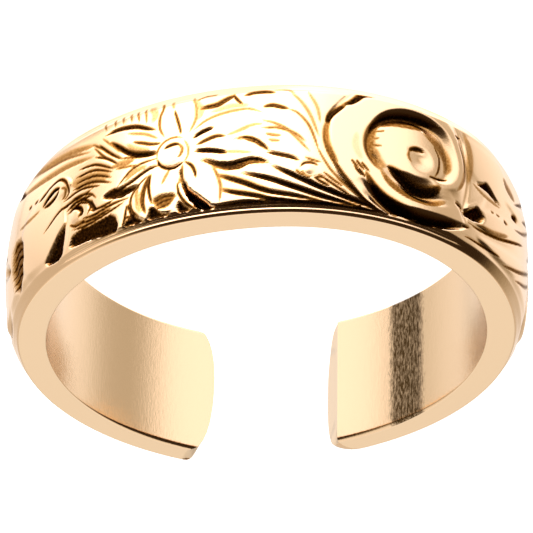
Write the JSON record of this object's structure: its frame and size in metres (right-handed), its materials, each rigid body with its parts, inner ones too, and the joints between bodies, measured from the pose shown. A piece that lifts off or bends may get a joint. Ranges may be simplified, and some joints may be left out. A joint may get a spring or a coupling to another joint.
{
  "type": "toe ring",
  "caption": "Open C-shaped toe ring: a wide cast band, flat inside and on both rims, with a raised daisy, volute and leaf ornament round the outside.",
  "frame": {"origin": "middle of the toe hole's widest measure, level with the rim that the ring rests on", "axes": "+Z along the ring's axis, up from the rest rim to the other rim; the crown faces -Y and the gap between the ends faces +Y"},
  "size_m": [0.0177, 0.0191, 0.0049],
  "materials": {
    "gold": "polished yellow gold outside, satin inside and on the rims"
  },
  "bodies": {
    "root": {"band": "gold"}
  },
  "joints": []
}
